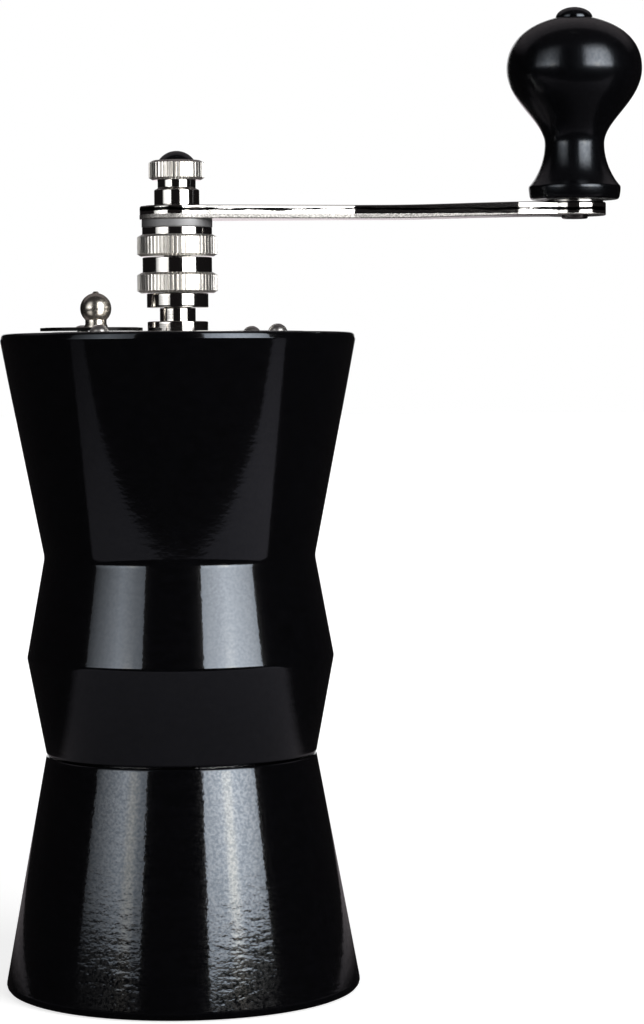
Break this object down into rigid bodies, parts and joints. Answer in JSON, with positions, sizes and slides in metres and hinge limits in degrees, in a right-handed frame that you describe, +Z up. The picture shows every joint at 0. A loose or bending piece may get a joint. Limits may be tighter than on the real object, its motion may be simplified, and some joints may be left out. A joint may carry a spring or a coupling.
{
  "type": "hand coffee mill",
  "caption": "Hourglass hand coffee mill in black lacquered wood with a nickel crank, black ball knob, knurled grind adjuster, swinging filler lid and pull-off grounds cup.",
  "frame": {"origin": "centre of the foot's underside, on the axis of the wooden body", "axes": "+Z up along the body and shaft axis; +X from the shaft to the knob along the crank arm"},
  "size_m": [0.1459, 0.08, 0.2213],
  "materials": {
    "black_lacquer": "gloss lacquer",
    "black_cap": "gloss",
    "bright_nickel": "polished nickel",
    "plain_steel": "turned",
    "grey_washer": "satin",
    "ring_aluminium": "turned",
    "burr_iron": "machined",
    "bush_bronze": "turned"
  },
  "bodies": {
    "cup": {"grounds_cup": "black_lacquer"},
    "mill": {"upper_body": "black_lacquer", "coupling_ring": "ring_aluminium", "burr_carrier": "burr_iron", "carrier_screws": "plain_steel", "lower_bush": "bush_bronze", "burr_ring": "burr_iron", "top_bridge": "plain_steel", "bush_nut": "plain_steel", "top_bush": "bright_nickel", "cover_plate": "bright_nickel", "cover_screws": "bright_nickel", "lid_pivot": "bright_nickel", "thrust_spring": "plain_steel"},
    "lid": {"lid_plate": "bright_nickel", "lid_ball": "bright_nickel"},
    "thrust": {"thrust_collar": "bright_nickel"},
    "adjuster": {"adjust_nut": "bright_nickel"},
    "rotor": {"shaft": "plain_steel", "inner_burr": "burr_iron", "burr_pin": "plain_steel", "shaft_clip": "plain_steel", "spring_washer": "plain_steel", "lock_nut": "bright_nickel", "crank_washer": "grey_washer", "crank_arm": "bright_nickel", "thumb_nut": "bright_nickel", "thumb_cap": "black_cap", "knob_washer": "plain_steel", "knob_pin": "plain_steel"},
    "grip": {"knob": "black_lacquer", "knob_plug": "black_cap"}
  },
  "joints": [
    {"name": "body_lift", "type": "slide", "parent": "cup", "child": "mill", "axis": [0, 0, 1], "range_m": [0, 0.03]},
    {"name": "lid_swing", "type": "hinge", "parent": "mill", "child": "lid", "pos_m": [-0.02098, 0.01824, 0.1489], "axis": [0, 0, -1], "range_deg": [0, 100]},
    {"name": "crank_turn", "type": "hinge", "parent": "mill", "child": "thrust", "pos_m": [0, 0, 0.155], "axis": [0, 0, 1], "continuous": true},
    {"name": "adjust_turn", "type": "hinge", "parent": "thrust", "child": "adjuster", "pos_m": [0, 0, 0.16], "axis": [0, 0, -1], "range_deg": [0, 360]},
    {"name": "grind_setting", "type": "slide", "parent": "thrust", "child": "rotor", "axis": [0, 0, 1], "range_m": [0, 0.001], "deforming": ["thrust_spring"]},
    {"name": "knob_spin", "type": "hinge", "parent": "rotor", "child": "grip", "pos_m": [0.0905, 0, 0.2], "axis": [0, 0, 1], "continuous": true}
  ],
  "couplings": [
    {"joint": "adjust_turn", "follows": "grind_setting", "rad_per_m": 6283.2}
  ]
}
